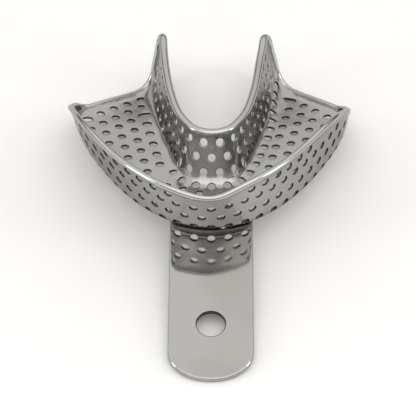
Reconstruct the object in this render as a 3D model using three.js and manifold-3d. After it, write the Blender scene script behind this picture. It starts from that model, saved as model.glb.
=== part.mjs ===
// Perforated lower impression tray for an edentulous jaw: a pressed steel trough in the shape
// of a horseshoe, a round wire bead all the way round its border, and a flat strip handle.
// Millimetres. +X is the wearer's side to side, +Y runs back towards the heels, +Z is up.
// The tray rests on its two heels and on the tip of its handle, trough facing up.

import * as THREE from 'three';
import { mergeVertices } from 'three/addons/utils/BufferGeometryUtils.js';
import Module from 'manifold-3d';

const SHEET = 0.8; // thickness of the pressed sheet
const OUTER_WIRE = 1.0; // radius of the border bead on the cheek side and the heels
const TONGUE_WIRE = 1.36; // its radius on the tongue side
const GAP = 0.3; // clearance between neighbouring pieces
const CORNER = 3.0; // length of each leg of the rounded corners of the trough
const HEEL_CORNER = 8.0; // the same at the heel end of the inner corner
const HEEL_LIFT = 0.6; // how far the heel's bead stands above the middle of the sheet
const HOLE_RADIUS = 1.2;
const HOLE_PITCH = 4.9; // distance between neighbouring holes
const HOLE_SIDES = 6;
const OUTER_ROWS = [1.7, 6.7, 11.8, 15.8]; // heights of the hole rows above the outer corner
const INNER_ROWS = [2.95, 7.5, 12.1, 16.7]; // their distances below the tongue-side rim
// The floor's hole grid on each side: one of its holes, and the steps to its two neighbours.
const FLOOR_GRID = {
  right: { start: [26.6, 44.1], across: [4.7, 1.55], along: [1.15, 5.2] },
  left: { start: [30.05, 47.1], across: [4.9, 1.6], along: [1.15, 5.2] },
};
const HANDLE_WIDTH = 24.4;
const HANDLE_THICKNESS = 1.6;
const HANDLE_TIP_Y = -55.2;
const HANDLE_BEND_Y = -3.0;
const HANDLE_ROOT_Y = 8.5; // end of the tongue brazed under the trough
const HANDLE_BEND_Z = 8.55; // middle of the strip at the bend
const HANDLE_ROOT_Z = 7.85; // middle of the strip at its hidden end
const HANDLE_END_DEPTH = 9.3; // how far the rounded end reaches beyond the parallel sides
const HANDLE_ROOT_DEPTH = 5.0; // the same at the hidden end
const HANDLE_HOLE_RADIUS = 4.1;
const HANDLE_HOLE_FROM_TIP = 18.3;
// The middle of the tray's overall box, which becomes the origin.
const CENTRE_X = -0.868;
const CENTRE_Y = 8.85;

// The four lines that the trough is drawn through, from the middle of the front to the heel:
// flange rim, outer corner of the floor, inner corner of the floor, tongue-side rim. The tray is
// formed by hand, so its left cheek flange leans out further than the right one, and its left
// heel is a little narrower.
const OUTER_RIM = [
  [0, -10.1, 27.4], [10.3, -5.8, 29.1], [18.6, 0.7, 29.1], [26.3, 9.5, 28.3], [33.2, 19.9, 26.8],
  [38.4, 30.0, 22.6], [41.2, 38.3, 16.4], [41.9, 44.4, 10.9], [40.8, 48.6, 7.9],
];
const OUTER_RIM_LEFT = [
  OUTER_RIM[0], [11.3, -7.7, 28.8], [20.5, -1.3, 28.8], [29.0, 7.6, 28.0], [36.0, 18.5, 26.5],
  [40.6, 29.3, 22.6], [42.8, 38.4, 17.0], [43.6, 45.0, 11.4], [41.8, 49.4, 8.2],
];
const OUTER_FLOOR = [
  [0, -5.9, 10.2], [9.8, -4.1, 10.2], [18.3, 1.1, 9.9], [26.3, 9.6, 9.3], [33.1, 20.0, 8.5],
  [38.0, 29.8, 7.6], [40.9, 38.7, 6.8], [41.7, 45.2, 6.1], [39.8, 50.0, 6.1],
];
const INNER_FLOOR = [
  [0, 13.9, 9.2], [4.3, 14.3, 9.2], [7.9, 16.7, 8.9], [10.4, 22.0, 8.2], [12.4, 29.0, 7.0],
  [14.5, 36.0, 5.9], [16.6, 44.5, 4.6], [18.6, 54.7, 2.0], [21.4, 67.6, -1.35],
];
const INNER_FLOOR_LEFT = [...INNER_FLOOR.slice(0, -1), [19.3, 66.3, -1.35]];
const INNER_RIM = [
  [0, 21.7, 22.8], [3.0, 22.3, 22.7], [5.6, 23.9, 22.5], [8.0, 27.4, 22.0], [10.2, 32.0, 21.4],
  [11.9, 38.2, 20.7], [13.4, 46.3, 19.9], [14.8, 58.0, 19.0], [16.8, 72.3, 18.6],
];
const INNER_RIM_LEFT = [...INNER_RIM.slice(0, -1), [15.8, 72.5, 18.7]];


const wasm = await Module();
wasm.setup();

// A smooth line from the left heel (t = 0) over the front (t = 0.5) to the right heel (t = 1).
function archLine(rightHalf, leftHalf) {
  const left = leftHalf.slice(1).reverse().map(([x, y, z]) => new THREE.Vector3(-x, y, z));
  const right = rightHalf.map(([x, y, z]) => new THREE.Vector3(x, y, z));
  return new THREE.CatmullRomCurve3([...left, ...right]);
}

const outerRim = archLine(OUTER_RIM, OUTER_RIM_LEFT);
const outerFloor = archLine(OUTER_FLOOR, OUTER_FLOOR);
const innerFloor = archLine(INNER_FLOOR, INNER_FLOOR_LEFT);
const innerRim = archLine(INNER_RIM, INNER_RIM_LEFT);

// The trough's cross-section at t: flange, rounded corner, floor, rounded corner, inner flange.
function crossSection(t) {
  const a = outerRim.getPoint(t);
  const b = outerFloor.getPoint(t);
  const c = innerFloor.getPoint(t);
  const d = innerRim.getPoint(t);
  const towards = (from, to, distance) => {
    const way = to.clone().sub(from);
    return from.clone().addScaledVector(way, Math.min(distance / way.length(), 0.45));
  };
  const nearHeel = Math.max(Math.abs(2 * t - 1) - 0.7, 0) / 0.3;
  const innerCorner = CORNER + (HEEL_CORNER - CORNER) * nearHeel ** 2;
  const outerUp = towards(b, a, CORNER);
  const outerIn = towards(b, c, CORNER);
  const innerOut = towards(c, b, innerCorner);
  const innerUp = towards(c, d, innerCorner);
  return [
    new THREE.LineCurve3(a, outerUp),
    new THREE.QuadraticBezierCurve3(outerUp, b, outerIn),
    new THREE.LineCurve3(outerIn, innerOut),
    new THREE.QuadraticBezierCurve3(innerOut, c, innerUp),
    new THREE.LineCurve3(innerUp, d),
  ];
}

// A point of the sheet's middle surface; v counts the five spans of the cross-section.
function sheetPoint(t, v) {
  const spans = crossSection(t);
  const index = Math.min(Math.floor(v), spans.length - 1);
  return spans[index].getPoint(v - index);
}

function sheetNormal(t, v) {
  const dt = 0.004;
  const dv = 0.06;
  const alongArch = sheetPoint(Math.min(t + dt, 1), v).sub(sheetPoint(Math.max(t - dt, 0), v));
  const across = sheetPoint(t, Math.min(v + dv, 5)).sub(sheetPoint(t, Math.max(v - dv, 0)));
  return alongArch.cross(across).normalize();
}

// Closed solid of the unperforated sheet: two skins and the strip that joins their borders.
function sheetSolid(archSteps, spanSteps) {
  const vs = [];
  spanSteps.forEach((steps, span) => {
    for (let i = 0; i < steps; i += 1) {
      vs.push(span + i / steps);
    }
  });
  vs.push(spanSteps.length);
  const rows = archSteps + 1;
  const columns = vs.length;
  const positions = [];
  for (const side of [0.5, -0.5]) {
    for (let i = 0; i < rows; i += 1) {
      for (const v of vs) {
        const t = i / archSteps;
        const point = sheetPoint(t, v).addScaledVector(sheetNormal(t, v), side * SHEET);
        positions.push(point.x, point.y, point.z);
      }
    }
  }
  const at = (skin, i, j) => (skin * rows + i) * columns + j;
  const indices = [];
  const quad = (p, q, r, s) => indices.push(p, q, r, p, r, s);
  for (let i = 0; i < archSteps; i += 1) {
    for (let j = 0; j < columns - 1; j += 1) {
      quad(at(0, i, j), at(0, i + 1, j), at(0, i + 1, j + 1), at(0, i, j + 1));
      quad(at(1, i, j), at(1, i, j + 1), at(1, i + 1, j + 1), at(1, i + 1, j));
    }
    quad(at(0, i, 0), at(1, i, 0), at(1, i + 1, 0), at(0, i + 1, 0));
    const last = columns - 1;
    quad(at(0, i, last), at(0, i + 1, last), at(1, i + 1, last), at(1, i, last));
  }
  for (let j = 0; j < columns - 1; j += 1) {
    quad(at(0, 0, j), at(0, 0, j + 1), at(1, 0, j + 1), at(1, 0, j));
    quad(at(0, archSteps, j), at(1, archSteps, j), at(1, archSteps, j + 1), at(0, archSteps, j + 1));
  }
  const geometry = new THREE.BufferGeometry();
  geometry.setAttribute('position', new THREE.Float32BufferAttribute(positions, 3));
  geometry.setIndex(indices);
  return geometry;
}

function toSolid(source) {
  const bare = source.clone();
  bare.deleteAttribute('normal');
  bare.deleteAttribute('uv');
  const merged = mergeVertices(bare, 1e-4);
  const vertProperties = new Float32Array(merged.attributes.position.array);
  const triVerts = new Uint32Array(merged.index.array);
  const mesh = new wasm.Mesh({ numProp: 3, vertProperties, triVerts });
  return new wasm.Manifold(mesh);
}

function toGeometry(solid) {
  const { vertProperties, triVerts } = solid.getMesh();
  const geometry = new THREE.BufferGeometry();
  geometry.setAttribute('position', new THREE.BufferAttribute(new Float32Array(vertProperties), 3));
  geometry.setIndex(new THREE.BufferAttribute(new Uint32Array(triVerts), 1));
  geometry.computeVertexNormals();
  return geometry;
}

// The border: rim, heel edge, tongue-side rim, heel edge, with the four corners rounded off.
const FRONT_STEPS = 46;
const TONGUE_STEPS = 36;
const HEEL_STEPS = [1.0, 1.6, 2.12, 2.5, 2.88, 3.25, 3.55, 3.85, 4.2, 4.5, 4.78];

function borderLine() {
  const points = [];
  const heelPoints = (t) => HEEL_STEPS.map((v, i) => {
    const lift = HEEL_LIFT * Math.sin(Math.PI * i / (HEEL_STEPS.length - 1));
    return sheetPoint(t, v).addScaledVector(sheetNormal(t, v), lift);
  });
  for (let i = 0; i <= FRONT_STEPS; i += 1) {
    points.push(outerRim.getPoint(0.02 + 0.96 * i / FRONT_STEPS));
  }
  points.push(...heelPoints(1));
  for (let i = 0; i <= TONGUE_STEPS; i += 1) {
    points.push(innerRim.getPoint(0.985 - 0.97 * i / TONGUE_STEPS));
  }
  points.push(...heelPoints(0).reverse());
  return new THREE.CatmullRomCurve3(points, true);
}

// The bead's radius along the border: thin outside, thick along the tongue, tapering between
// the two where it climbs the inner heel.
function wireRadius(t) {
  const heel = HEEL_STEPS.length;
  const place = t * (FRONT_STEPS + TONGUE_STEPS + 2 * heel + 2);
  const rise = THREE.MathUtils.smoothstep(place, FRONT_STEPS + heel / 2, FRONT_STEPS + heel);
  const tongueEnd = FRONT_STEPS + heel + TONGUE_STEPS + 2;
  const fall = THREE.MathUtils.smoothstep(place, tongueEnd, tongueEnd + heel / 2);
  return OUTER_WIRE + (TONGUE_WIRE - OUTER_WIRE) * (rise - fall);
}

function beadGeometry(path, steps, sides, extra) {
  const tube = new THREE.TubeGeometry(path, steps, 1, sides, true);
  const vertex = new THREE.Vector3();
  for (let i = 0; i <= steps; i += 1) {
    const t = i === steps ? 0 : path.getUtoTmapping(i / steps);
    const centre = path.getPointAt(i / steps);
    for (let j = 0; j <= sides; j += 1) {
      const index = i * (sides + 1) + j;
      vertex.fromBufferAttribute(tube.attributes.position, index).sub(centre);
      vertex.multiplyScalar(wireRadius(t) + extra).add(centre);
      tube.attributes.position.setXYZ(index, vertex.x, vertex.y, vertex.z);
    }
  }
  return tube;
}

// Where a row of holes crosses the section at t, given its distance from the outer corner of
// the floor or from the tongue-side rim.
function outerRowV(t, height) {
  const [flange, corner] = crossSection(t);
  const onCorner = corner.getLength() / 2;
  if (height > onCorner) {
    return 1 - (height - onCorner) / flange.getLength();
  }
  return 1.5 - 0.5 * height / onCorner;
}

function innerRowV(t, depth) {
  const spans = crossSection(t);
  const flange = spans[4].getLength();
  if (depth < flange) {
    return 5 - depth / flange;
  }
  return 4 - (depth - flange) / spans[3].getLength();
}

// Places along one row of holes, spaced evenly on both sides of the middle of the front.
function rowPlaces(vAt, pitch, shift) {
  const steps = 240;
  const places = [];
  let previous = sheetPoint(0.5, Math.max(vAt(0.5), 0));
  let travelled = 0;
  let next = shift * pitch;
  for (let i = 0; i <= steps; i += 1) {
    const t = 0.5 + 0.5 * i / steps;
    const v = Math.max(vAt(t), 0);
    const point = sheetPoint(t, v);
    travelled += point.distanceTo(previous);
    previous = point;
    if (travelled >= next) {
      places.push([t, v]);
      if (next > 0) {
        places.push([1 - t, v]);
      }
      next += pitch;
    }
  }
  return places;
}

// The (t, v) of the floor above a point given by its distance from the middle plane and y.
function floorPlace(x, y) {
  let t = 0.5 + 0.5 * Math.min(Math.max((y + 5) / 65, 0.05), 0.95);
  let v = 2.5;
  for (let i = 0; i < 25; i += 1) {
    const here = sheetPoint(t, v);
    const alongT = sheetPoint(t + 0.002, v).sub(here).divideScalar(0.002);
    const alongV = sheetPoint(t, v + 0.002).sub(here).divideScalar(0.002);
    const det = alongT.x * alongV.y - alongT.y * alongV.x;
    const dx = x - here.x;
    const dy = y - here.y;
    t += 0.7 * (dx * alongV.y - dy * alongV.x) / det;
    v += 0.7 * (alongT.x * dy - alongT.y * dx) / det;
    t = Math.min(Math.max(t, 0.5), 0.99);
    v = Math.min(Math.max(v, 1.5), 3.5);
  }
  return [t, v];
}

// Every hole, as (t, v) on the sheet: rows along both flanges, and a triangular grid on each
// side of the floor, turned the opposite way left and right.
function holePlaces(border) {
  const borderSamples = border.getPoints(500);
  const nearest = (point, others) => Math.min(...others.map((other) => other.distanceTo(point)));
  const places = [];
  OUTER_ROWS.forEach((height, row) => {
    places.push(...rowPlaces((t) => outerRowV(t, height), HOLE_PITCH, (row % 2) / 2));
  });
  INNER_ROWS.forEach((depth, row) => {
    const line = rowPlaces((t) => innerRowV(t, depth), HOLE_PITCH - 0.2, (1 - row % 2) / 2);
    places.push(...line.filter(([t]) => row < 3 || t > 0.3));
  });
  const flangePoints = places.map(([t, v]) => sheetPoint(t, v));
  for (const [side, { start, across, along }] of Object.entries(FLOOR_GRID)) {
    const innerLimit = side === 'right' ? 3.1 : 3.7;
    for (let i = -12; i <= 12; i += 1) {
      for (let j = -12; j <= 12; j += 1) {
        const spot = new THREE.Vector2(...start);
        spot.addScaledVector(new THREE.Vector2(...across), i);
        spot.addScaledVector(new THREE.Vector2(...along), j);
        const [t, v] = floorPlace(spot.x, spot.y);
        const point = sheetPoint(t, v);
        const onFloor = Math.hypot(point.x - spot.x, point.y - spot.y) < 0.05 && spot.x > 1.5;
        point.x = side === 'right' ? point.x : -point.x;
        if (onFloor && v > 1.85 && v < innerLimit && nearest(point, flangePoints) > 3.5) {
          places.push([side === 'right' ? t : 1 - t, v]);
        }
      }
    }
  }
  return places.filter(([t, v]) => {
    const edge = HOLE_RADIUS + GAP + 0.05 + (v < 3.5 ? OUTER_WIRE : TONGUE_WIRE);
    return nearest(sheetPoint(t, v), borderSamples) > edge;
  });
}

// The strip handle: its side profile, bent where it passes under the trough, cut to its plan.
function handleSolid() {
  const slope = Math.atan2(HANDLE_BEND_Z - HANDLE_THICKNESS / 2, HANDLE_BEND_Y - HANDLE_TIP_Y);
  const rootSlope = Math.atan2(HANDLE_ROOT_Z - HANDLE_BEND_Z, HANDLE_ROOT_Y - HANDLE_BEND_Y);
  const half = HANDLE_THICKNESS / 2;
  const middle = [];
  for (const [y, turn] of [[HANDLE_TIP_Y - 1, 0], [HANDLE_BEND_Y - 2, 0], [HANDLE_BEND_Y, 0.5]]) {
    const z = HANDLE_BEND_Z + (y - HANDLE_BEND_Y) * Math.tan(slope);
    middle.push([y, z - 0.12 * turn, slope + turn * (rootSlope - slope)]);
  }
  for (const y of [HANDLE_BEND_Y + 2, HANDLE_ROOT_Y + 1]) {
    middle.push([y, HANDLE_BEND_Z + (y - HANDLE_BEND_Y) * Math.tan(rootSlope), rootSlope]);
  }
  const upper = middle.map(([y, z, a]) => [y - half * Math.sin(a), z + half * Math.cos(a)]);
  const lower = middle.map(([y, z, a]) => [y + half * Math.sin(a), z - half * Math.cos(a)]);
  const side = new THREE.Shape([...lower, ...upper.reverse()].map(([y, z]) => new THREE.Vector2(y, z)));
  const bar = new THREE.ExtrudeGeometry(side, { depth: HANDLE_WIDTH + 2, bevelEnabled: false });
  bar.translate(0, 0, -HANDLE_WIDTH / 2 - 1);
  bar.applyMatrix4(new THREE.Matrix4().set(0, 0, 1, 0, 1, 0, 0, 0, 0, 1, 0, 0, 0, 0, 0, 1));

  const outline = new THREE.Shape();
  const halfWidth = HANDLE_WIDTH / 2;
  outline.absellipse(0, HANDLE_TIP_Y + HANDLE_END_DEPTH, halfWidth, HANDLE_END_DEPTH, Math.PI, 2 * Math.PI);
  outline.absellipse(0, HANDLE_ROOT_Y - HANDLE_ROOT_DEPTH, halfWidth, HANDLE_ROOT_DEPTH, 0, Math.PI);
  const hole = new THREE.Path();
  hole.absarc(0, HANDLE_TIP_Y + HANDLE_HOLE_FROM_TIP, HANDLE_HOLE_RADIUS, 0, 2 * Math.PI, true);
  outline.holes.push(hole);
  const plan = new THREE.ExtrudeGeometry(outline, { depth: 30, bevelEnabled: false, curveSegments: 14 });
  plan.translate(0, 0, -10);
  return toSolid(bar).intersect(toSolid(plan));
}

const border = borderLine();
let sheet = toSolid(sheetSolid(26, [1, 1, 1, 1, 1]));
sheet = sheet.subtract(toSolid(beadGeometry(border, 96, 6, GAP)));
// The punched holes widen a little towards the outside of the trough.
const drill = new THREE.ConeGeometry(HOLE_RADIUS * 1.19, 9.5, HOLE_SIDES).translate(0, 3.25, 0);
for (const [t, v] of holePlaces(border)) {
  const turn = new THREE.Quaternion();
  turn.setFromUnitVectors(new THREE.Vector3(0, 1, 0), sheetNormal(t, v));
  const cutter = drill.clone().applyQuaternion(turn);
  cutter.translate(...sheetPoint(t, v).toArray());
  sheet = sheet.subtract(toSolid(cutter));
}
const pieces = sheet.decompose().sort((one, other) => other.volume() - one.volume());

const polished = { metalness: 1.0 };
const shellMaterial = new THREE.MeshStandardMaterial({ color: 0xa9aaa8, roughness: 0.2, ...polished });
const wireMaterial = new THREE.MeshStandardMaterial({ color: 0xb4b3b0, roughness: 0.18, ...polished });
const handleMaterial = new THREE.MeshStandardMaterial({ color: 0xb2aea8, roughness: 0.24, ...polished });

const tray = new THREE.Group();
tray.position.set(-CENTRE_X, -CENTRE_Y, 0);

const shell = new THREE.Mesh(toGeometry(pieces[0]), shellMaterial);
shell.name = 'tray_shell';
tray.add(shell);

const wire = new THREE.Mesh(beadGeometry(border, 130, 7, 0), wireMaterial);
wire.name = 'rim_wire';
tray.add(wire);

const handle = new THREE.Mesh(toGeometry(handleSolid()), handleMaterial);
handle.name = 'handle';
tray.add(handle);

export default tray;
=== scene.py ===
"""Perforated lower impression tray: fine polished-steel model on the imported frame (metres)."""
import math

import bpy
import numpy as np
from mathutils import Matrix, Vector
from mathutils.geometry import delaunay_2d_cdt
from mathutils.kdtree import KDTree


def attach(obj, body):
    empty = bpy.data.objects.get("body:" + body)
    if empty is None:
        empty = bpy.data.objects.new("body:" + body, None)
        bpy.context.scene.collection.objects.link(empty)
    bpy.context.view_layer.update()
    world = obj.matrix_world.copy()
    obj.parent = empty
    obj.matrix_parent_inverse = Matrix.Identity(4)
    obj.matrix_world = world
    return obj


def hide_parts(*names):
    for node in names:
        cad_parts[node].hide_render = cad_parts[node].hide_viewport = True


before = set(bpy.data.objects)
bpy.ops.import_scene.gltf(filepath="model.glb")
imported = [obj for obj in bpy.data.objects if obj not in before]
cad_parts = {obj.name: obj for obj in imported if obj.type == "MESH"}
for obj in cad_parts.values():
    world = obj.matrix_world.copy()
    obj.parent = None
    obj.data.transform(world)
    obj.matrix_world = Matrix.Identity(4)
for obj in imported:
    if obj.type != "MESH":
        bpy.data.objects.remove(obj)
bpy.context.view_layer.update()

# ---------------------------------------------------------------- dimensions (millimetres)
SHEET = 0.8
OUTER_WIRE = 0.90  # radius of the border wire on the cheek side and the heels
TONGUE_WIRE = 1.27  # its radius on the tongue side
CORNER = 3.0  # length of each leg of the rounded corners of the trough
HEEL_CORNER = 8.0  # the same at the heel end of the inner corner
HEEL_LIFT = 0.6  # how far the heel's wire stands above the middle of the sheet
HEEL_BLEND = 2.5  # how far from the wire the sheet bends up to meet it
SOLDER = 0.42  # what the solder adds to each side of the sheet under the wire
SOLDER_FLAT = 0.6  # how far from the wire's middle line it stays that thick
SOLDER_TAPER = 1.2  # and how far it takes to thin out from there
HOLE_RADIUS = 1.2
HOLE_PITCH = 4.9  # distance between neighbouring holes of a row
HOLE_LIP = 0.13  # radius of a hole's rounded edge
HOLE_POINTS = 20
OUTER_ROWS = [1.7, 6.7, 11.8, 15.8]  # heights of the hole rows above the outer corner
INNER_ROWS = [2.95, 7.5, 12.1, 16.7]  # their distances below the tongue-side rim
WIRE_CLEARANCE = 0.35  # least strip of sheet between a hole and the room kept for the wire
OUTER_WIRE_ROOM = 0.95
TONGUE_WIRE_ROOM = 1.3
# The floor's hole grid on the right (1) and on the left (-1): a first place and two steps.
FLOOR_GRID = {1: np.array([[26.6, 44.1], [4.7, 1.55], [1.15, 5.2]]),
              -1: np.array([[30.05, 47.1], [4.9, 1.6], [1.15, 5.2]])}
HANDLE_WIDTH = 24.4
HANDLE_THICKNESS = 1.6
HANDLE_TIP_Y = -55.15
HANDLE_BEND_Y = -3.0
HANDLE_BEND_REACH = 3.0  # how far the bend is rounded on each side
HANDLE_ROOT_Y = 8.5  # end of the strip under the trough
HANDLE_BEND_Z = 8.55  # middle of the strip at the bend
HANDLE_ROOT_Z = 7.85  # middle of the strip at its hidden end
HANDLE_END_DEPTH = 9.3  # how far the rounded end reaches beyond the parallel sides
HANDLE_ROOT_DEPTH = 5.0  # the same at the hidden end
HANDLE_EDGE = 0.55  # radius of the strip's rounded edge
HANDLE_HOLE_RADIUS = 4.1
HANDLE_HOLE_LIP = 0.35
HANDLE_HOLE_FROM_TIP = 18.25
HANDLE_SPACING = 1.5  # between the points of the strip's mesh
CENTRE_X = -0.868  # middle of the whole tray, which the row frame has at x = 0
CENTRE_Y = 8.85  # the same for y
SPAN_LENGTHS = [15.0, 4.7, 17.0, 4.7, 12.5]  # flat lengths of the five spans of the section
SPAN_STARTS = np.concatenate([[0], np.cumsum(SPAN_LENGTHS)])
ARCH_LENGTH = 130.0  # flat length of the sheet from heel to heel
HOLE_SHADE_ATTRIBUTE = "painted_hole_shade"  # marks the vertices on the walls of punched holes, which get a painted shade

# The four lines of the trough, from the middle of the front to the right heel. The left cheek
# flange leans out further than the right one, and the left heel is a little narrower.
OUTER_RIM = [
    [0, -10.1, 27.4], [10.3, -5.8, 29.1], [18.6, 0.7, 29.1], [26.3, 9.5, 28.3], [33.2, 19.9, 26.8],
    [38.4, 30.0, 22.6], [41.2, 38.3, 16.4], [41.9, 44.4, 10.9], [40.8, 48.6, 7.9]]
OUTER_RIM_LEFT = [
    OUTER_RIM[0], [11.3, -7.7, 28.8], [20.5, -1.3, 28.8], [29.0, 7.6, 28.0], [36.0, 18.5, 26.5],
    [40.6, 29.3, 22.6], [42.8, 38.4, 17.0], [43.6, 45.0, 11.4], [41.8, 49.4, 8.2]]
OUTER_FLOOR = [
    [0, -5.9, 10.2], [9.8, -4.1, 10.2], [18.3, 1.1, 9.9], [26.3, 9.6, 9.3], [33.1, 20.0, 8.5],
    [38.0, 29.8, 7.6], [40.9, 38.7, 6.8], [41.7, 45.2, 6.1], [39.8, 50.0, 6.1]]
INNER_FLOOR = [
    [0, 13.9, 9.2], [4.3, 14.3, 9.2], [7.9, 16.7, 8.9], [10.4, 22.0, 8.2], [12.4, 29.0, 7.0],
    [14.5, 36.0, 5.9], [16.6, 44.5, 4.6], [18.6, 54.7, 2.0], [21.4, 67.6, -1.35]]
INNER_FLOOR_LEFT = [*INNER_FLOOR[:-1], [19.3, 66.3, -1.35]]
INNER_RIM = [
    [0, 21.7, 22.8], [3.0, 22.3, 22.7], [5.6, 23.9, 22.5], [8.0, 27.4, 22.0], [10.2, 32.0, 21.4],
    [11.9, 38.2, 20.7], [13.4, 46.3, 19.9], [14.8, 58.0, 19.0], [16.8, 72.3, 18.6]]
INNER_RIM_LEFT = [*INNER_RIM[:-1], [15.8, 72.5, 18.7]]


# ---------------------------------------------------------------- curves
class Spline:
    """Centripetal Catmull-Rom line through points, open or closed; at(t) takes an array."""

    def __init__(self, points, closed=False):
        p = np.asarray(points, float)
        if closed:
            p = np.vstack([p[-1], p, p[0], p[1]])
        else:
            p = np.vstack([2 * p[0] - p[1], p, 2 * p[-1] - p[-2]])
        # Each knot step is the square root of the distance between neighbouring points.
        step = np.sqrt(np.linalg.norm(np.diff(p, axis=0), axis=1))
        p0, p1, p2, p3 = p[:-3], p[1:-2], p[2:-1], p[3:]
        d0, d1, d2 = step[:-2, None], step[1:-1, None], step[2:, None]
        m1 = ((p1 - p0) / d0 - (p2 - p0) / (d0 + d1) + (p2 - p1) / d1) * d1
        m2 = ((p2 - p1) / d1 - (p3 - p1) / (d1 + d2) + (p3 - p2) / d2) * d1
        self.c = [p1, m1, -3 * p1 + 3 * p2 - 2 * m1 - m2, 2 * p1 - 2 * p2 + m1 + m2]

    def at(self, t):
        n = len(self.c[0])
        s = np.clip(np.asarray(t, float), 0, 1) * n
        i = np.minimum(s.astype(int), n - 1)
        w = (s - i)[..., None]
        return self.c[0][i] + w * (self.c[1][i] + w * (self.c[2][i] + w * self.c[3][i]))


def arch(right_half, left_half):
    left = np.array(left_half[:0:-1], float) * [-1, 1, 1]
    return Spline(np.vstack([left, right_half]))


OUTER_RIM_LINE = arch(OUTER_RIM, OUTER_RIM_LEFT)
OUTER_FLOOR_LINE = arch(OUTER_FLOOR, OUTER_FLOOR)
INNER_FLOOR_LINE = arch(INNER_FLOOR, INNER_FLOOR_LEFT)
INNER_RIM_LINE = arch(INNER_RIM, INNER_RIM_LEFT)


def section(t):
    """The corner points of the cross-section: flange, round corner, floor, round corner, flange."""
    a, b = OUTER_RIM_LINE.at(t), OUTER_FLOOR_LINE.at(t)
    c, d = INNER_FLOOR_LINE.at(t), INNER_RIM_LINE.at(t)

    near_heel = np.clip((np.abs(2 * np.asarray(t, float) - 1) - 0.7) / 0.3, 0, 1)
    inner_corner = CORNER + (HEEL_CORNER - CORNER) * near_heel[..., None] ** 2

    def towards(start, end, reach):
        way = end - start
        length = np.linalg.norm(way, axis=-1, keepdims=True)
        return start + way * np.minimum(reach / length, 0.45)
    return (a, towards(b, a, CORNER), b, towards(b, c, CORNER), towards(c, b, inner_corner), c,
            towards(c, d, inner_corner), d)


def sheet_point(t, v):
    """Middle surface of the sheet at arch position t and section position v (0 to 5)."""
    t, v = np.broadcast_arrays(np.asarray(t, float), np.asarray(v, float))
    a, bu, b, bi, co, c, cu, d = section(t)
    v = np.clip(v, 0, 5)
    k = np.minimum(v.astype(int), 4)
    w = (v - k)[..., None]
    k = k[..., None]

    def line(p, q):
        return p + w * (q - p)

    def bend(p, q, r):
        return (1 - w) ** 2 * p + 2 * w * (1 - w) * q + w * w * r
    return np.select([k == 0, k == 1, k == 2, k == 3, k == 4],
                     [line(a, bu), bend(bu, b, bi), line(bi, co), bend(co, c, cu), line(cu, d)])


def sheet_frame(t, v):
    """Point, the two surface tangents (per unit of t and of v) and the unit normal."""
    t, v = np.asarray(t, float), np.asarray(v, float)
    t0, t1 = np.maximum(t - 0.004, 0), np.minimum(t + 0.004, 1)
    v0, v1 = np.maximum(v - 0.05, 0), np.minimum(v + 0.05, 5)
    along = (sheet_point(t1, v) - sheet_point(t0, v)) / (t1 - t0)[..., None]
    across = (sheet_point(t, v1) - sheet_point(t, v0)) / (v1 - v0)[..., None]
    normal = np.cross(along, across)
    normal /= np.linalg.norm(normal, axis=-1, keepdims=True)
    return sheet_point(t, v), along, across, normal


# The border: rim, heel edge, tongue-side rim, heel edge, with the four corners rounded off.
FRONT_STEPS = 46
TONGUE_STEPS = 36
HEEL_STEPS = np.array([1.0, 1.6, 2.12, 2.5, 2.88, 3.25, 3.55, 3.85, 4.2, 4.5, 4.78])
RIM_END = 0.02  # how much of the arch each end of the rim leaves for its corner
TONGUE_END = 0.015  # the same on the tongue side


def border_line():
    front_steps, tongue_steps = np.arange(FRONT_STEPS + 1), np.arange(TONGUE_STEPS + 1)
    front = OUTER_RIM_LINE.at(RIM_END + (1 - 2 * RIM_END) * front_steps / FRONT_STEPS)
    tongue = INNER_RIM_LINE.at(1 - TONGUE_END - (1 - 2 * TONGUE_END) * tongue_steps / TONGUE_STEPS)
    lift = HEEL_LIFT * np.sin(np.linspace(0, math.pi, len(HEEL_STEPS)))[:, None]

    def heel(t):
        edge, _, _, normal = sheet_frame(np.full(len(HEEL_STEPS), t), HEEL_STEPS)
        return edge + lift * normal
    return Spline(np.vstack([front, heel(1.0), tongue, heel(0.0)[::-1]]), closed=True)


def wire_radius(t):
    """Thin on the cheek side, thick along the tongue, tapering up the inner heel."""
    heel = len(HEEL_STEPS)
    place = np.asarray(t) * (FRONT_STEPS + TONGUE_STEPS + 2 * heel + 2)

    def step(low, high):
        x = np.clip((place - low) / (high - low), 0, 1)
        return x * x * (3 - 2 * x)
    tongue_end = FRONT_STEPS + heel + TONGUE_STEPS + 2
    rise = step(FRONT_STEPS + heel / 2, FRONT_STEPS + heel)
    fall = step(tongue_end, tongue_end + heel / 2)
    return OUTER_WIRE + (TONGUE_WIRE - OUTER_WIRE) * (rise - fall)


BORDER = border_line()
BORDER_POINTS = BORDER.at(np.linspace(0, 1, 1600, endpoint=False))


def tree_of(points):
    tree = KDTree(len(points))
    for i, p in enumerate(points):
        tree.insert(p, i)
    tree.balance()
    return tree


BORDER_TREE = tree_of(BORDER_POINTS)


# ---------------------------------------------------------------- where the holes are
def arc_length(ts, v_low, v_high, steps=24):
    """Length of the section from v_low to v_high at each of the arch positions ts."""
    vs = np.linspace(v_low, v_high, steps)
    line = sheet_point(ts[:, None], vs[None, :])
    return np.sum(np.linalg.norm(np.diff(line, axis=1), axis=2), axis=1)


def outer_row_v(ts, height):
    """Section position at this height above the middle of the outer corner."""
    on_corner = arc_length(ts, 1.0, 1.99999) / 2
    flange = arc_length(ts, 0.0, 0.99999, 2)
    return np.where(height > on_corner, 1 - (height - on_corner) / flange,
                    1.5 - 0.5 * height / on_corner)


def inner_row_v(ts, depth):
    """Section position at this distance below the tongue-side rim."""
    flange = arc_length(ts, 4.0, 5.0, 2)
    corner = arc_length(ts, 3.0, 3.99999)
    return np.where(depth < flange, 5 - depth / flange, 4 - (depth - flange) / corner)


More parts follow.
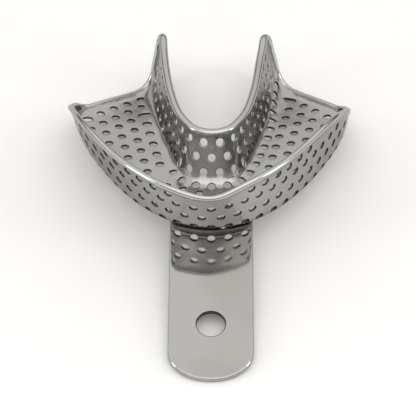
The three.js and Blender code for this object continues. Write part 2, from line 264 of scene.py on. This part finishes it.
def row_places(row_v, distance, pitch, shift):
    """Places along one row, spaced evenly on both sides of the middle of the front."""
    steps = 240
    ts = 0.5 + 0.5 * np.arange(steps + 1) / steps
    vs = np.maximum(row_v(ts, distance), 0)
    line = sheet_point(ts, vs)
    travelled = np.concatenate([[0], np.cumsum(np.linalg.norm(np.diff(line, axis=0), axis=1))])
    places = []
    after = shift * pitch
    for t, v, way in zip(ts, vs, travelled):
        if way >= after:
            places.append((t, v))
            if after > 0:
                places.append((1 - t, v))
            after += pitch
    return places


def floor_place(x, y):
    """The (t, v) of the floor above a plan point, by damped Newton steps from a rough guess."""
    t, v = 0.5 + 0.5 * min(max((y + 5) / 65, 0.05), 0.95), 2.5
    nudge, damping = 0.002, 0.7
    for _ in range(25):
        here = sheet_point(t, v)
        dt = (sheet_point(t + nudge, v) - here) / nudge
        dv = (sheet_point(t, v + nudge) - here) / nudge
        det = dt[0] * dv[1] - dt[1] * dv[0]
        dx, dy = x - here[0], y - here[1]
        t = min(max(t + damping * (dx * dv[1] - dy * dv[0]) / det, 0.5), 0.99)
        v = min(max(v + damping * (dt[0] * dy - dt[1] * dx) / det, 1.5), 3.5)
    return t, v


def floor_holes(side, flanges):
    """The grid on one side of the floor, kept clear of the flanges' holes."""
    grid_reach = 12
    outer_limit, inner_limit = 1.85, 3.1 if side > 0 else 3.7
    off_grid, least_distance = 0.05, 3.5
    start, across, along = FLOOR_GRID[side]
    places = []
    for i in range(-grid_reach, grid_reach + 1):
        for j in range(-grid_reach, grid_reach + 1):
            x, y = start + i * across + j * along
            if not (1.5 < x < 44 and -8 < y < 68):
                continue
            t, v = floor_place(x, y)
            point = sheet_point(t, v)
            reached = math.hypot(point[0] - x, point[1] - y) <= off_grid
            clear = flanges.find(point * [side, 1, 1])[2] > least_distance
            if reached and clear and outer_limit < v < inner_limit:
                places.append((t if side > 0 else 1 - t, v))
    return places


def hole_places():
    """Every hole, as (t, v) on the sheet: rows along both flanges and a grid on each leg."""
    places = []
    for row, height in enumerate(OUTER_ROWS):
        places += row_places(outer_row_v, height, HOLE_PITCH, (row % 2) / 2)
    for row, depth in enumerate(INNER_ROWS):
        line = row_places(inner_row_v, depth, HOLE_PITCH - 0.2, (1 - row % 2) / 2)
        places += [(t, v) for t, v in line if row < 3 or t > 0.3]
    flanges = tree_of([sheet_point(t, v) for t, v in places])
    for side in FLOOR_GRID:
        places += floor_holes(side, flanges)

    def fits(t, v):
        room = OUTER_WIRE_ROOM if v < 3.5 else TONGUE_WIRE_ROOM
        return BORDER_TREE.find(sheet_point(t, v))[2] > HOLE_RADIUS + WIRE_CLEARANCE + room
    return [place for place in places if fits(*place)]


# ---------------------------------------------------------------- meshes
def make_object(name, vertices, faces, material, node, punched=()):
    """A smooth-shaded piece from millimetre coordinates, riding on the one rigid body.

    punched: the vertices on the walls of punched holes, which get a painted shade.
    """
    v = (np.asarray(vertices) - [CENTRE_X, CENTRE_Y, 0]) * 0.001
    mesh = bpy.data.meshes.new(name)
    mesh.from_pydata(v.tolist(), [], faces)
    wall = mesh.attributes.new(HOLE_SHADE_ATTRIBUTE, "FLOAT", "POINT")
    for i in punched:
        wall.data[i].value = 1.0
    mesh.validate()
    mesh.shade_smooth()
    mesh.materials.append(material)
    obj = bpy.data.objects.new(name, mesh)
    bpy.context.collection.objects.link(obj)
    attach(obj, "root")
    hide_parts(node)


def loop_edges(start, count):
    return [(start + i, start + (i + 1) % count) for i in range(count)]


def flat_skin(boundary, holes, inner):
    """Triangles of a flat skin between its outer loop and the edge loops of its holes.

    Returns the plan points, the triangles and the number of each hole's first edge point.
    """
    plan = [np.asarray(boundary)]
    edges = loop_edges(0, len(boundary))
    owner = [-1] * len(boundary)
    hole_start = []
    total = len(boundary)
    for index, hole in enumerate(holes):
        loop, _, support = hole[0]
        hole_start.append(total)
        edges += loop_edges(total, len(loop))
        plan += [loop, support]
        owner += [index] * len(loop) + [-1] * len(support)
        total += len(loop) + len(support)
    plan = np.vstack([*plan, inner])
    owner = np.array(owner + [-1] * len(inner))
    points, _, triangles = delaunay_2d_cdt([Vector(p) for p in plan], edges, [], 0, 1e-6)[:3]
    assert len(points) == len(plan), "some plan points coincide"
    skin = []
    for triangle in triangles:
        owners = owner[list(triangle)]
        if owners[0] >= 0 and (owners == owners[0]).all():
            continue
        a, b, c = plan[list(triangle)]
        area = (b[0] - a[0]) * (c[1] - a[1]) - (b[1] - a[1]) * (c[0] - a[0])
        skin.append(tuple(triangle) if area > 0 else tuple(reversed(triangle)))
    return plan, skin, hole_start


def plate(boundary, rings, holes, inner, place, half):
    """A plate with rounded edges.

    boundary: outer loop of the flat skin (plan coordinates); rings: further (loop, height)
    pairs down to the lower skin, or none for an edge that stays open inside the border wire;
    holes: for each hole (edge loop, height, support loop) on the skin, then (loop, height)
    pairs down its wall; inner: scattered plan points; place(plan, height): plan to space.
    Returns the vertices, the faces and for each hole the numbers of its wall's vertices.
    """
    plan, skin, hole_start = flat_skin(boundary, holes, inner)
    n = len(plan)
    spots = [place(plan, np.full(n, half)), place(plan, np.full(n, -half))]
    faces = skin + [tuple(i + n for i in reversed(triangle)) for triangle in skin]
    used = 2 * n

    def wall(start, count, between, outward):
        """Quads from a loop of the upper skin, through the loops between, to the lower skin."""
        nonlocal used
        first = list(range(start, start + count))
        chain = [first]
        for loop, height in between:
            spots.append(place(np.asarray(loop), np.full(count, height)))
            chain.append(list(range(used, used + count)))
            used += count
        chain.append([i + n for i in first])
        for upper, lower in zip(chain, chain[1:]):
            for i in range(count):
                j = (i + 1) % count
                quad = (upper[i], lower[i], lower[j], upper[j])
                faces.append(quad if outward else quad[::-1])
    if rings:
        wall(0, len(boundary), rings, True)
    hole_walls = []
    for start, hole in zip(hole_start, holes):
        before = used
        wall(start, len(hole[0][0]), hole[1:], False)
        hole_walls.append(range(before, used))
    return np.vstack(spots), faces, hole_walls


def rounded(radius, half, steps=3):
    """(inset, height) pairs of a rounded edge, from the top skin to the bottom skin, ends left out."""
    top = [(radius * (1 - math.sin(a)), half - radius * (1 - math.cos(a)))
           for a in np.linspace(0, math.pi / 2, steps + 1)[1:]]
    return top + [(inset, -height) for inset, height in reversed(top)]


# ---------------------------------------------------------------- materials
STAIN_TINT = (0.84, 0.82, 0.79)
# Painted shade: the near-black colour given to the walls of punched holes stands for the shade inside
# them.
PAINTED_HOLE_SHADE = (0.09, 0.085, 0.08)


class Shader:
    """Short calls that build the nodes of one material or of the world."""

    def __init__(self, owner):
        owner.use_nodes = True
        self.nodes, self.links = owner.node_tree.nodes, owner.node_tree.links

    def node(self, kind, **values):
        made = self.nodes.new(kind)
        for name, value in values.items():
            made.inputs[name].default_value = value
        return made

    def noise(self, coords, scale, detail, stretch=(1, 1, 1), rough=0.5):
        mapping = self.node("ShaderNodeMapping", Scale=stretch)
        self.links.new(coords, mapping.inputs["Vector"])
        made = self.node("ShaderNodeTexNoise", Scale=scale, Detail=detail, Roughness=rough)
        self.links.new(mapping.outputs["Vector"], made.inputs["Vector"])
        return made.outputs["Fac"]

    def ramp(self, source, low, high, out_low, out_high, kind="LINEAR"):
        limits = {"From Min": low, "From Max": high, "To Min": out_low, "To Max": out_high}
        made = self.node("ShaderNodeMapRange", **limits)
        made.interpolation_type = kind
        self.links.new(source, made.inputs["Value"])
        return made.outputs["Result"]

    def maths(self, operation, one, other):
        made = self.nodes.new("ShaderNodeMath")
        made.operation = operation
        self.links.new(one, made.inputs[0])
        self.links.new(other, made.inputs[1])
        return made.outputs[0]

    def mix(self, factor, base, colour):
        """From base, which is a colour or an output, to the colour as the factor grows."""
        made = self.nodes.new("ShaderNodeMix")
        made.data_type = "RGBA"
        if isinstance(base, tuple):
            made.inputs["A"].default_value = (*base, 1)
        else:
            self.links.new(base, made.inputs["A"])
        made.inputs["B"].default_value = (*colour, 1)
        self.links.new(factor, made.inputs["Factor"])
        return made.outputs["Result"]


def steel(name, tint, rough_low, rough_high, brush, wave_height):
    """Polished stainless steel: cloudy polish, stains, hair scratches, a very soft waviness.

    The walls of punched holes are darkened as painted shade. Noise scales are per metre.
    """
    material = bpy.data.materials.new(name)
    make = Shader(material)
    coords = make.node("ShaderNodeTexCoord").outputs["Object"]
    scratch = make.noise(coords, 900, 6, brush, 0.7)

    stains = make.ramp(make.noise(coords, 28, 3), 0.45, 0.72, 0, 1)
    colour = make.mix(stains, tint, tuple(a * b for a, b in zip(tint, STAIN_TINT)))
    # Painted shade: the colour is mixed towards near-black on the walls of punched holes.
    wall = make.node("ShaderNodeAttribute")
    wall.attribute_name = HOLE_SHADE_ATTRIBUTE
    colour = make.mix(wall.outputs["Fac"], colour, PAINTED_HOLE_SHADE)

    cloud = make.ramp(make.noise(coords, 70, 4), 0.3, 0.7, rough_low, rough_high)
    roughness = make.maths("ADD", cloud, make.ramp(scratch, 0.5, 0.75, 0, 0.1))

    wave = make.node("ShaderNodeBump", Strength=wave_height, Distance=0.0004)
    make.links.new(make.noise(coords, 110, 2), wave.inputs["Height"])
    fine = make.node("ShaderNodeBump", Strength=0.12, Distance=0.00002)
    make.links.new(scratch, fine.inputs["Height"])
    make.links.new(wave.outputs["Normal"], fine.inputs["Normal"])

    shader = make.nodes["Principled BSDF"]
    shader.inputs["Metallic"].default_value = 1.0
    shader.inputs["Specular Tint"].default_value = (0.6, 0.6, 0.6, 1)
    make.links.new(colour, shader.inputs["Base Color"])
    make.links.new(roughness, shader.inputs["Roughness"])
    make.links.new(fine.outputs["Normal"], shader.inputs["Normal"])
    return material


shell_steel = steel("shell_steel", (0.45, 0.45, 0.445), 0.12, 0.22, (1, 1, 1), 0.7)
wire_steel = steel("wire_steel", (0.54, 0.535, 0.525), 0.10, 0.18, (1, 1, 1), 0.3)


# ---------------------------------------------------------------- tray shell
def to_tv(plan):
    """From the flat plan of the sheet, in millimetres, to arch and section positions."""
    t = np.clip(plan[:, 0] / ARCH_LENGTH, 0, 1)
    v = np.interp(plan[:, 1], SPAN_STARTS, np.arange(6))
    return t, v


def to_plan(t, v):
    return np.stack([np.asarray(t) * ARCH_LENGTH, np.interp(v, np.arange(6), SPAN_STARTS)], axis=-1)


def place_on_sheet(plan, height):
    """From the flat plan to space: the sheet rises to the wire and thickens into its solder."""
    t, v = to_tv(plan)
    point, _, _, normal = sheet_frame(t, v)
    out = np.empty_like(point)
    for i, p in enumerate(point):
        near, _, away = BORDER_TREE.find(p)
        rise = (near - Vector(p)) @ Vector(normal[i])
        beside = math.sqrt(max(away * away - rise * rise, 0))
        p = p + normal[i] * rise * max(0, 1 - beside / HEEL_BLEND) ** 2
        # The plan's four sharp corners lie outside the wire's rounded ones and are drawn in.
        end = abs(t[i] - 0.5) - 0.5
        outer = (end + RIM_END) / RIM_END + (1 - v[i])
        inner = (end + TONGUE_END) / TONGUE_END + (v[i] - HEEL_STEPS[-1]) / (5 - HEEL_STEPS[-1])
        if max(outer, inner) > 1 and away > 0.05:
            p = np.array(near)
            beside = 0
        solder = SOLDER * max(0.0, 1 - max(beside - SOLDER_FLAT, 0) / SOLDER_TAPER) ** 2
        grow = math.copysign(min(abs(height[i]) / (SHEET / 2), 1) * solder, height[i])
        out[i] = p + normal[i] * (height[i] + grow)
    return out


def hole_loop(t0, v0, radius):
    """A circle on the sheet round (t0, v0), in the flat plan."""
    _, along, across, _ = sheet_frame(t0, v0)
    along = along / ARCH_LENGTH
    across = across / SPAN_LENGTHS[min(int(v0), 4)]
    x_axis = along / np.linalg.norm(along)
    y_axis = across - x_axis * (across @ x_axis)
    y_axis /= np.linalg.norm(y_axis)
    angle = np.arange(HOLE_POINTS) * 2 * math.pi / HOLE_POINTS
    x, y = radius * np.cos(angle), radius * np.sin(angle)
    down = y / (across @ y_axis)
    side = (x - down * (across @ x_axis)) / np.linalg.norm(along)
    return to_plan(t0, v0) + np.stack([side, down], axis=-1)


def make_shell():
    half = SHEET / 2
    along_points, across_points = 111, 45
    support, clearing = 0.42, 0.75  # from a hole's edge to the loop round it and to the grid
    places = hole_places()
    holes = []
    for t, v in places:
        edge = hole_loop(t, v, HOLE_RADIUS + HOLE_LIP)
        wall = [(hole_loop(t, v, HOLE_RADIUS + inset), z) for inset, z in rounded(HOLE_LIP, half, 2)]
        holes.append([(edge, half, hole_loop(t, v, HOLE_RADIUS + support)), *wall])
    width = sum(SPAN_LENGTHS)
    xs = np.linspace(0, ARCH_LENGTH, along_points)
    ys = np.linspace(0, width, across_points)
    boundary = ([(x, 0) for x in xs[:-1]] + [(ARCH_LENGTH, y) for y in ys[:-1]]
                + [(x, width) for x in xs[:0:-1]] + [(0, y) for y in ys[:0:-1]])
    inner = np.array([(x + (j % 2) * 0.5, y) for j, y in enumerate(ys[1:-1]) for x in xs[1:-1]])
    hole_tree = tree_of([sheet_point(t, v) for t, v in places])
    clear = [hole_tree.find(p)[2] > HOLE_RADIUS + clearing for p in sheet_point(*to_tv(inner))]
    vertices, faces, walls = plate(boundary, [], holes, inner[clear], place_on_sheet, half)
    # Painted shade on the walls of the holes in the cheek flange and the floor; those in the tongue-side
    # flange are left unshaded.
    shaded_hole_walls = [i for (_, v), wall in zip(places, walls) if v < 4 for i in wall]
    return vertices, faces, shaded_hole_walls


vertices, faces, punched = make_shell()
make_object("tray_shell_fine", vertices, faces, shell_steel, "tray_shell", punched)


# ---------------------------------------------------------------- border wire
def make_wire(steps=520, sides=16):
    centre = BORDER.at(np.arange(steps) / steps)
    tangent = np.roll(centre, -1, axis=0) - np.roll(centre, 1, axis=0)
    tangent /= np.linalg.norm(tangent, axis=1, keepdims=True)
    across = np.cross(tangent, [0, 0, 1.0])
    across /= np.linalg.norm(across, axis=1, keepdims=True)
    up = np.cross(across, tangent)
    angle = np.arange(sides) * 2 * math.pi / sides
    ring = np.cos(angle)[None, :, None] * across[:, None] + np.sin(angle)[None, :, None] * up[:, None]
    radius = wire_radius(np.arange(steps) / steps)[:, None, None]
    vertices = (centre[:, None] + radius * ring).reshape(-1, 3)
    faces = []
    for i in range(steps):
        for j in range(sides):
            k, m = (i + 1) % steps, (j + 1) % sides
            faces.append((i * sides + j, k * sides + j, k * sides + m, i * sides + m))
    return vertices, faces


vertices, faces = make_wire()
make_object("rim_wire_fine", vertices, faces, wire_steel, "rim_wire")


# ---------------------------------------------------------------- handle
SLOPE = math.atan2(HANDLE_BEND_Z - HANDLE_THICKNESS / 2, HANDLE_BEND_Y - HANDLE_TIP_Y)
ROOT_SLOPE = math.atan2(HANDLE_ROOT_Z - HANDLE_BEND_Z, HANDLE_ROOT_Y - HANDLE_BEND_Y)


def strip_middle(y):
    """Height and slope of the strip's middle surface: two straight stretches and a soft bend."""
    reach = HANDLE_BEND_REACH
    s = np.clip((y - HANDLE_BEND_Y + reach) / (2 * reach), 0, 1)
    front = HANDLE_BEND_Z + (y - HANDLE_BEND_Y) * math.tan(SLOPE)
    back = HANDLE_BEND_Z + (y - HANDLE_BEND_Y) * math.tan(ROOT_SLOPE)
    turn = reach * (math.tan(ROOT_SLOPE) - math.tan(SLOPE)) * s * s
    middle = HANDLE_BEND_Z - reach * math.tan(SLOPE) + 2 * reach * s * math.tan(SLOPE) + turn
    z = np.where(y < HANDLE_BEND_Y - reach, front, np.where(y > HANDLE_BEND_Y + reach, back, middle))
    return z, SLOPE + s * (ROOT_SLOPE - SLOPE)


def place_on_strip(plan, height):
    z, slope = strip_middle(plan[:, 1])
    return np.stack([plan[:, 0], plan[:, 1] - height * np.sin(slope), z + height * np.cos(slope)], axis=-1)


def strip_outline(inset):
    half = HANDLE_WIDTH / 2 - inset
    tip, root = HANDLE_TIP_Y + HANDLE_END_DEPTH, HANDLE_ROOT_Y - HANDLE_ROOT_DEPTH
    a = np.linspace(math.pi, 2 * math.pi, 49)
    front = np.stack([half * np.cos(a), tip + (HANDLE_END_DEPTH - inset) * np.sin(a)], axis=-1)
    a = np.linspace(0, math.pi, 33)
    back = np.stack([half * np.cos(a), root + (HANDLE_ROOT_DEPTH - inset) * np.sin(a)], axis=-1)
    side = np.linspace(tip, root, 42)[1:-1]
    right = np.stack([np.full(40, half), side], axis=-1)
    return np.vstack([front, right, back, right[::-1] * [-1, 1]])


def inner_strip_points(hole_y):
    """A staggered grid inside the strip's outline, clear of its edge and of the hanging hole."""
    half = HANDLE_WIDTH / 2
    end_y, root_y = HANDLE_TIP_Y + HANDLE_END_DEPTH, HANDLE_ROOT_Y - HANDLE_ROOT_DEPTH
    xs = np.arange(-10.5, 10.6, HANDLE_SPACING)
    ys = np.arange(HANDLE_TIP_Y + 2, HANDLE_ROOT_Y - 0.5, HANDLE_SPACING)
    points = []
    for j, y in enumerate(ys):
        for x in xs + 0.3 * (j % 2):
            tip = (y - end_y) / (HANDLE_END_DEPTH - 1.6)
            root = (y - root_y) / (HANDLE_ROOT_DEPTH - 1.2)
            wide = (x / (half - 1.2)) ** 2
            in_tip = tip >= 0 or tip * tip + wide <= 1
            in_root = root <= 0 or root * root + wide <= 1
            if in_tip and in_root and math.hypot(x, y - hole_y) > HANDLE_HOLE_RADIUS + 1.1:
                points.append((x, y))
    return points


def make_handle():
    half = HANDLE_THICKNESS / 2
    hole_y = HANDLE_TIP_Y + HANDLE_HOLE_FROM_TIP
    sides = 48
    a = np.arange(sides) * 2 * math.pi / sides

    def circle(radius):
        return np.stack([radius * np.cos(a), hole_y + radius * np.sin(a)], axis=-1)
    edge = HANDLE_HOLE_RADIUS + HANDLE_HOLE_LIP
    wall = [(circle(HANDLE_HOLE_RADIUS + inset), z) for inset, z in rounded(HANDLE_HOLE_LIP, half, 3)]
    hole = [(circle(edge), half, circle(edge + 0.4)), *wall]
    rings = [(strip_outline(inset), z) for inset, z in rounded(HANDLE_EDGE, half, 5)]
    inner = inner_strip_points(hole_y)
    return plate(strip_outline(HANDLE_EDGE), rings, [hole], inner, place_on_strip, half)


handle_steel = steel("handle_steel", (0.50, 0.49, 0.475), 0.04, 0.10, (8, 0.35, 8), 0.06)
vertices, faces, hole_walls = make_handle()
# The wall of the hanging hole gets the painted shade as well.
make_object("handle_fine", vertices, faces, handle_steel, "handle", hole_walls[0])


# ---------------------------------------------------------------- stage, light and camera
def stage():
    bpy.ops.mesh.primitive_plane_add(size=3, location=(0, 0, 0))
    floor = bpy.context.object
    floor.name = "studio_floor"
    material = bpy.data.materials.new("studio_floor")
    material.use_nodes = True
    shader = material.node_tree.nodes["Principled BSDF"]
    shader.inputs["Base Color"].default_value = (0.9, 0.9, 0.9, 1)
    shader.inputs["Roughness"].default_value = 0.9
    shader.inputs["Specular IOR Level"].default_value = 0.1
    floor.data.materials.append(material)


def soft_light(name, location, aim, size, power):
    data = bpy.data.lights.new(name, "AREA")
    data.shape = "RECTANGLE"
    data.size, data.size_y = size
    data.energy = power
    light = bpy.data.objects.new(name, data)
    light.location = location
    way = Vector(aim) - Vector(location)
    light.rotation_euler = way.to_track_quat("-Z", "Y").to_euler()
    bpy.context.collection.objects.link(light)


def sky():
    """A pale studio tent: bright overhead and behind, dim where the photographer stands."""
    world = bpy.data.worlds.new("studio")
    bpy.context.scene.world = world
    make = Shader(world)
    split = make.node("ShaderNodeSeparateXYZ")
    make.links.new(make.node("ShaderNodeTexCoord").outputs["Generated"], split.inputs[0])
    height = make.ramp(split.outputs["Z"], 0.06, 0.45, 0.18, 0.97, "SMOOTHSTEP")
    front = make.ramp(split.outputs["Y"], -0.75, -0.2, 0.65, 1.0, "SMOOTHSTEP")
    background = make.nodes["Background"]
    background.inputs["Color"].default_value = (1.0, 0.99, 0.97, 1)
    make.links.new(make.maths("MULTIPLY", height, front), background.inputs["Strength"])


def set_camera(target, azimuth, elevation, distance, lens):
    """A camera looking at target from in front, turned by azimuth and raised by elevation."""
    azimuth, elevation = math.radians(azimuth), math.radians(elevation)
    away = Vector((math.sin(azimuth) * math.cos(elevation), -math.cos(azimuth) * math.cos(elevation),
                   math.sin(elevation)))
    data = bpy.data.cameras.new("camera")
    data.lens = lens
    data.sensor_width = 36
    data.clip_start = 0.01
    camera = bpy.data.objects.new("camera", data)
    camera.location = Vector(target) + away * distance
    camera.rotation_euler = (-away).to_track_quat("-Z", "Y").to_euler()
    bpy.context.collection.objects.link(camera)
    bpy.context.scene.camera = camera


stage()
sky()
soft_light("key", (0.1, -0.35, 0.95), (0, 0, 0), (1.4, 1.0), 3.0)
soft_light("left_strip", (-0.9, -0.25, 0.35), (0, 0, 0.02), (0.25, 0.5), 1.5)
soft_light("right_strip", (0.9, -0.2, 0.35), (0, 0, 0.02), (0.25, 0.5), 1.5)

aim_at = (-0.00104 - 0.001 * CENTRE_X, 0.005 - 0.001 * CENTRE_Y, 0.008)
set_camera(aim_at, azimuth=0.3, elevation=46.0, distance=0.6, lens=174.8)
bpy.context.scene.view_settings.view_transform = "Standard"
